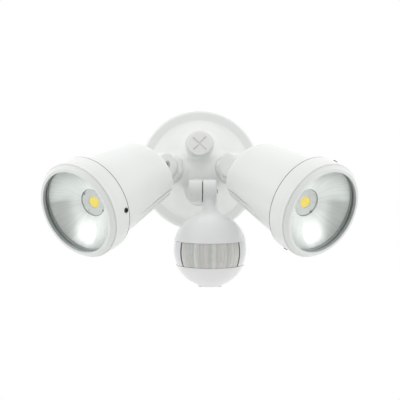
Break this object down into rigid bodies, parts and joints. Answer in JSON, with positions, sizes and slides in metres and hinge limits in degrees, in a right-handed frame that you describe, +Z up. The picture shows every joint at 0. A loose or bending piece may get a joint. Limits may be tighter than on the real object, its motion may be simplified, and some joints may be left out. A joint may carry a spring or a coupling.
{
  "type": "motion sensor security light",
  "caption": "Wall light with a round plate, lamp heads on knuckle arms and a ball-shaped motion sensor; heads and sensor swivel and tilt, control dials sit under the ball.",
  "frame": {"origin": "centre of the wall plate's rear face, on the wall, midway between the two wall screws", "axes": "+X to the right seen from in front of the wall, +Y into the wall, +Z up"},
  "size_m": [0.2882, 0.1734, 0.171],
  "materials": {
    "white_powder_coat": "satin",
    "white_plastic": "satin",
    "sensor_white_plastic": "satin",
    "steel": "satin",
    "dark_steel": "satin",
    "brass": "satin",
    "seal_black": "matte",
    "seal_white": "matte",
    "seal_grey": "matte",
    "terminal_plastic": "matte",
    "lamp_glass": "polished",
    "reflector_aluminium": "polished",
    "bare_aluminium": "satin",
    "led_phosphor": "matte",
    "holder_plastic": "matte",
    "circuit_board": "satin",
    "lens_plastic": "satin",
    "pane_plastic": "satin",
    "black_plastic": "matte",
    "dial_plastic": "matte"
  },
  "bodies": {
    "wall_plate": {"canopy": "white_powder_coat", "wall_gasket": "seal_black", "mounting_bracket": "steel", "canopy_screws": "steel", "terminal_block": "terminal_plastic", "terminal_screws": "brass", "earth_screw": "brass", "plug_o_ring": "seal_white", "blanking_plug": "white_plastic", "left_arm_o_ring": "seal_white", "left_locknut": "white_plastic", "right_arm_o_ring": "seal_white", "right_locknut": "white_plastic", "sensor_arm_o_ring": "seal_white", "sensor_locknut": "white_plastic"},
    "left_arm": {"left_arm": "white_powder_coat", "left_knuckle_seal": "seal_black", "left_clamp_screw": "steel"},
    "right_arm": {"right_arm": "white_powder_coat", "right_knuckle_seal": "seal_black", "right_clamp_screw": "steel"},
    "sensor_arm": {"sensor_arm": "white_powder_coat", "sensor_knuckle_seal": "seal_black", "sensor_clamp_screw": "dark_steel"},
    "left_lamp": {"left_body": "white_powder_coat", "left_bezel": "white_powder_coat", "left_bezel_screws": "dark_steel", "left_bezel_seal": "seal_black", "left_glass": "lamp_glass", "left_glass_seal": "seal_grey", "left_reflector": "reflector_aluminium", "left_heat_plate": "bare_aluminium", "left_plate_screws": "steel", "left_led_module": "led_phosphor", "left_led_holder": "holder_plastic", "left_led_driver": "circuit_board"},
    "right_lamp": {"right_body": "white_powder_coat", "right_bezel": "white_powder_coat", "right_bezel_screws": "dark_steel", "right_bezel_seal": "seal_black", "right_glass": "lamp_glass", "right_glass_seal": "seal_grey", "right_reflector": "reflector_aluminium", "right_heat_plate": "bare_aluminium", "right_plate_screws": "steel", "right_led_module": "led_phosphor", "right_led_holder": "holder_plastic", "right_led_driver": "circuit_board"},
    "sensor_head": {"sensor_upper_shell": "sensor_white_plastic", "sensor_lower_shell": "sensor_white_plastic", "sensor_shell_screws": "steel", "sensor_lens": "lens_plastic", "sensor_side_panes": "pane_plastic", "sensor_lens_bars": "black_plastic", "sensor_board": "circuit_board", "sensor_relay": "black_plastic", "sensor_detector_stand": "black_plastic", "sensor_detector": "steel"},
    "time_dial": {"time_dial": "dial_plastic"},
    "range_dial": {"range_dial": "dial_plastic"}
  },
  "joints": [
    {"name": "left_swivel", "type": "hinge", "parent": "wall_plate", "child": "left_arm", "pos_m": [-0.0255, -0.042, 0], "axis": [-0.6248, -0.7526, 0.2079], "range_deg": [-90, 90]},
    {"name": "right_swivel", "type": "hinge", "parent": "wall_plate", "child": "right_arm", "pos_m": [0.0255, -0.042, 0], "axis": [0.6248, -0.7526, 0.2079], "range_deg": [-90, 90]},
    {"name": "sensor_swivel", "type": "hinge", "parent": "wall_plate", "child": "sensor_arm", "pos_m": [0, -0.042, -0.0213], "axis": [0, -1, 0], "range_deg": [-35, 16]},
    {"name": "left_tilt", "type": "hinge", "parent": "left_arm", "child": "left_lamp", "pos_m": [-0.04062, -0.05614, 0.00437], "axis": [-0.7694, 0.6388, 0], "range_deg": [-15, 85]},
    {"name": "right_tilt", "type": "hinge", "parent": "right_arm", "child": "right_lamp", "pos_m": [0.03662, -0.05947, 0.00437], "axis": [-0.7694, -0.6388, 0], "range_deg": [-15, 85]},
    {"name": "sensor_tilt", "type": "hinge", "parent": "sensor_arm", "child": "sensor_head", "pos_m": [0.0026, -0.062, -0.0213], "axis": [1, 0, 0], "range_deg": [-40, 40]},
    {"name": "time_dial_turn", "type": "hinge", "parent": "sensor_head", "child": "time_dial", "pos_m": [0.0015, -0.08215, -0.10927], "axis": [0, -0.0872, 0.9962], "range_deg": [-135, 135]},
    {"name": "range_dial_turn", "type": "hinge", "parent": "sensor_head", "child": "range_dial", "pos_m": [0.0181, -0.08215, -0.10927], "axis": [0, -0.0872, 0.9962], "range_deg": [-135, 135]}
  ]
}
